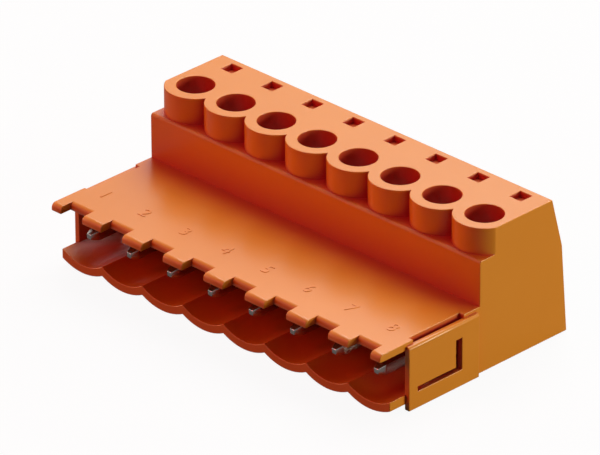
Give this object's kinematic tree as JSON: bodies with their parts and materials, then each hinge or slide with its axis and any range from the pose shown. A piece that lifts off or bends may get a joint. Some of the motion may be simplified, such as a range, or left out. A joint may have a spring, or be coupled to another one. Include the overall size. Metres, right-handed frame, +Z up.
{
  "type": "pluggable terminal block",
  "caption": "Orange pluggable terminal block with a row of screw clamps, deep screwdriver holes, and an open scalloped shroud with square pins at the front.",
  "frame": {"origin": "middle of the block's footprint, on the surface it rests on", "axes": "+X along the row from pole 1 to pole 8, -Y out of the mating shroud, +Y out of the wire entries, +Z up the screws"},
  "size_m": [0.0414, 0.0234, 0.0136],
  "materials": {
    "housing_plastic": "fine satin moulded surface",
    "screw_steel": "zinc plated and passivated",
    "cage_steel": "zinc plated",
    "contact_tin": "tin plated copper alloy"
  },
  "bodies": {
    "housing": {"housing": "housing_plastic", "pin_contact_1": "contact_tin", "pin_contact_2": "contact_tin", "pin_contact_3": "contact_tin", "pin_contact_4": "contact_tin", "pin_contact_5": "contact_tin", "pin_contact_6": "contact_tin", "pin_contact_7": "contact_tin", "pin_contact_8": "contact_tin"},
    "screw_1": {"clamp_screw_1": "screw_steel"},
    "cage_1": {"clamp_cage_1": "cage_steel"},
    "screw_2": {"clamp_screw_2": "screw_steel"},
    "cage_2": {"clamp_cage_2": "cage_steel"},
    "screw_3": {"clamp_screw_3": "screw_steel"},
    "cage_3": {"clamp_cage_3": "cage_steel"},
    "screw_4": {"clamp_screw_4": "screw_steel"},
    "cage_4": {"clamp_cage_4": "cage_steel"},
    "screw_5": {"clamp_screw_5": "screw_steel"},
    "cage_5": {"clamp_cage_5": "cage_steel"},
    "screw_6": {"clamp_screw_6": "screw_steel"},
    "cage_6": {"clamp_cage_6": "cage_steel"},
    "screw_7": {"clamp_screw_7": "screw_steel"},
    "cage_7": {"clamp_cage_7": "cage_steel"},
    "screw_8": {"clamp_screw_8": "screw_steel"},
    "cage_8": {"clamp_cage_8": "cage_steel"}
  },
  "joints": [
    {"name": "screw_1_turn", "type": "hinge", "parent": "housing", "child": "screw_1", "pos_m": [-0.01778, 0.00385, 0.00965], "axis": [0, 0, -1], "range_deg": [0, 1800]},
    {"name": "cage_1_lift", "type": "slide", "parent": "housing", "child": "cage_1", "axis": [0, 0, 1], "range_m": [0, 0.00225]},
    {"name": "screw_2_turn", "type": "hinge", "parent": "housing", "child": "screw_2", "pos_m": [-0.0127, 0.00385, 0.00965], "axis": [0, 0, -1], "range_deg": [0, 1800]},
    {"name": "cage_2_lift", "type": "slide", "parent": "housing", "child": "cage_2", "axis": [0, 0, 1], "range_m": [0, 0.00225]},
    {"name": "screw_3_turn", "type": "hinge", "parent": "housing", "child": "screw_3", "pos_m": [-0.00762, 0.00385, 0.00965], "axis": [0, 0, -1], "range_deg": [0, 1800]},
    {"name": "cage_3_lift", "type": "slide", "parent": "housing", "child": "cage_3", "axis": [0, 0, 1], "range_m": [0, 0.00225]},
    {"name": "screw_4_turn", "type": "hinge", "parent": "housing", "child": "screw_4", "pos_m": [-0.00254, 0.00385, 0.00965], "axis": [0, 0, -1], "range_deg": [0, 1800]},
    {"name": "cage_4_lift", "type": "slide", "parent": "housing", "child": "cage_4", "axis": [0, 0, 1], "range_m": [0, 0.00225]},
    {"name": "screw_5_turn", "type": "hinge", "parent": "housing", "child": "screw_5", "pos_m": [0.00254, 0.00385, 0.00965], "axis": [0, 0, -1], "range_deg": [0, 1800]},
    {"name": "cage_5_lift", "type": "slide", "parent": "housing", "child": "cage_5", "axis": [0, 0, 1], "range_m": [0, 0.00225]},
    {"name": "screw_6_turn", "type": "hinge", "parent": "housing", "child": "screw_6", "pos_m": [0.00762, 0.00385, 0.00965], "axis": [0, 0, -1], "range_deg": [0, 1800]},
    {"name": "cage_6_lift", "type": "slide", "parent": "housing", "child": "cage_6", "axis": [0, 0, 1], "range_m": [0, 0.00225]},
    {"name": "screw_7_turn", "type": "hinge", "parent": "housing", "child": "screw_7", "pos_m": [0.0127, 0.00385, 0.00965], "axis": [0, 0, -1], "range_deg": [0, 1800]},
    {"name": "cage_7_lift", "type": "slide", "parent": "housing", "child": "cage_7", "axis": [0, 0, 1], "range_m": [0, 0.00225]},
    {"name": "screw_8_turn", "type": "hinge", "parent": "housing", "child": "screw_8", "pos_m": [0.01778, 0.00385, 0.00965], "axis": [0, 0, -1], "range_deg": [0, 1800]},
    {"name": "cage_8_lift", "type": "slide", "parent": "housing", "child": "cage_8", "axis": [0, 0, 1], "range_m": [0, 0.00225]}
  ],
  "couplings": [
    {"joint": "screw_1_turn", "follows": "cage_1_lift", "rad_per_m": 13963},
    {"joint": "screw_2_turn", "follows": "cage_2_lift", "rad_per_m": 13963},
    {"joint": "screw_3_turn", "follows": "cage_3_lift", "rad_per_m": 13963},
    {"joint": "screw_4_turn", "follows": "cage_4_lift", "rad_per_m": 13963},
    {"joint": "screw_5_turn", "follows": "cage_5_lift", "rad_per_m": 13963},
    {"joint": "screw_6_turn", "follows": "cage_6_lift", "rad_per_m": 13963},
    {"joint": "screw_7_turn", "follows": "cage_7_lift", "rad_per_m": 13963},
    {"joint": "screw_8_turn", "follows": "cage_8_lift", "rad_per_m": 13963}
  ]
}
